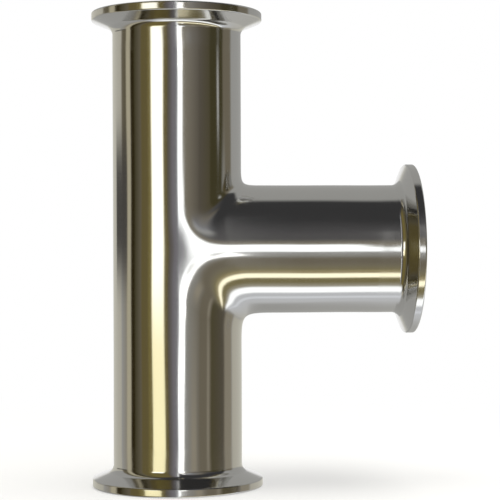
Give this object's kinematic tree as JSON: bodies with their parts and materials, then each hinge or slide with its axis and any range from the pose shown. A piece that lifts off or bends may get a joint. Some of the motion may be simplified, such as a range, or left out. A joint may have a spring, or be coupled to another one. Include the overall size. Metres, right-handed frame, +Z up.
{
  "type": "sanitary tee",
  "caption": "Equal tee in polished stainless steel tube, with a grooved clamp ferrule on each end, that joins a branch line to a sanitary pipeline.",
  "frame": {"origin": "centre of the lower ferrule's face, on the axis of the run, where the tee stands", "axes": "+Z up along the run, from the lower ferrule to the upper one; +X along the branch, out of its ferrule; +Y across both"},
  "size_m": [0.0958, 0.0506, 0.14],
  "materials": {
    "polished_tube": "304 stainless steel tube, belt polished outside to a bright near mirror, bright drawn bore",
    "turned_ferrule": "304 stainless steel, turned on a lathe, polished with fine rings around its axis"
  },
  "bodies": {
    "root": {"tee_body": "polished_tube", "branch_stub": "polished_tube", "run_ferrule_top": "turned_ferrule", "run_ferrule_bottom": "turned_ferrule", "branch_ferrule": "turned_ferrule"}
  },
  "joints": []
}
